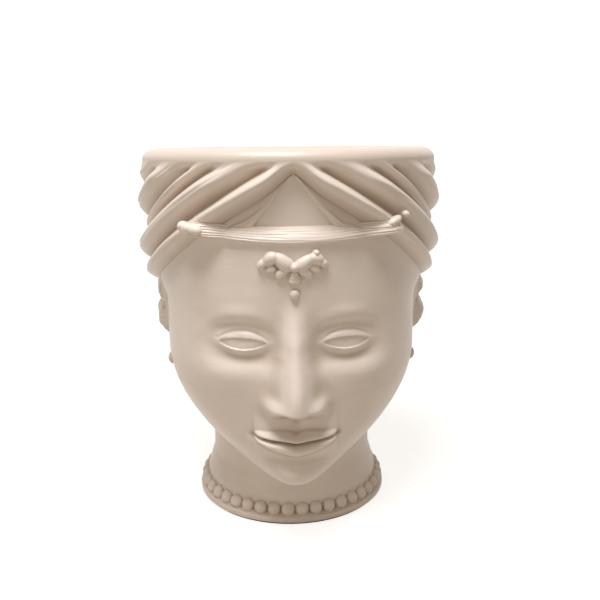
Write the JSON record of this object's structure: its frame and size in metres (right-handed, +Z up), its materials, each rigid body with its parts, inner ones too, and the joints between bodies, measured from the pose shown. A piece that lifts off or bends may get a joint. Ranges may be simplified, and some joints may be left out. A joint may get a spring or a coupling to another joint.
{
  "type": "head planter",
  "caption": "Hollow round plant pot shaped as a head with a calm face, a rolled turban round its mouth, a brow ornament and a beaded foot, with a lift-out drain stopper.",
  "frame": {"origin": "middle of the flat underside of the foot's pad, on the pot's own axis", "axes": "+Z up along the pot's axis, the face looks along -Y, the head's own left side is +X"},
  "size_m": [0.211, 0.227, 0.2505],
  "materials": {
    "glaze": "satin",
    "rubber": "matte",
    "felt": "matte"
  },
  "bodies": {
    "pot": {"band_knot_left": "glaze", "band_knot_right": "glaze", "base_pad": "felt", "brow_drop": "glaze", "brow_jewel": "glaze", "brow_leaf_left": "glaze", "brow_leaf_right": "glaze", "collar_beads": "glaze", "ear_stud_left": "glaze", "ear_stud_right": "glaze", "face_mask": "glaze", "hair_wave_1": "glaze", "hair_wave_2": "glaze", "hair_wave_3": "glaze", "hair_wave_4": "glaze", "headband": "glaze", "rim_ring": "glaze", "temple_lock_left": "glaze", "temple_lock_right": "glaze", "turban_fold_left": "glaze", "turban_fold_right": "glaze", "turban_roll_1": "glaze", "turban_roll_2": "glaze", "turban_roll_3": "glaze", "turban_roll_4": "glaze", "turban_roll_5": "glaze", "vessel": "glaze"},
    "stopper": {"drain_plug": "rubber"}
  },
  "joints": [
    {"name": "stopper_lift", "type": "slide", "parent": "pot", "child": "stopper", "axis": [0, 0, 1], "range_m": [0, 0.26]}
  ]
}
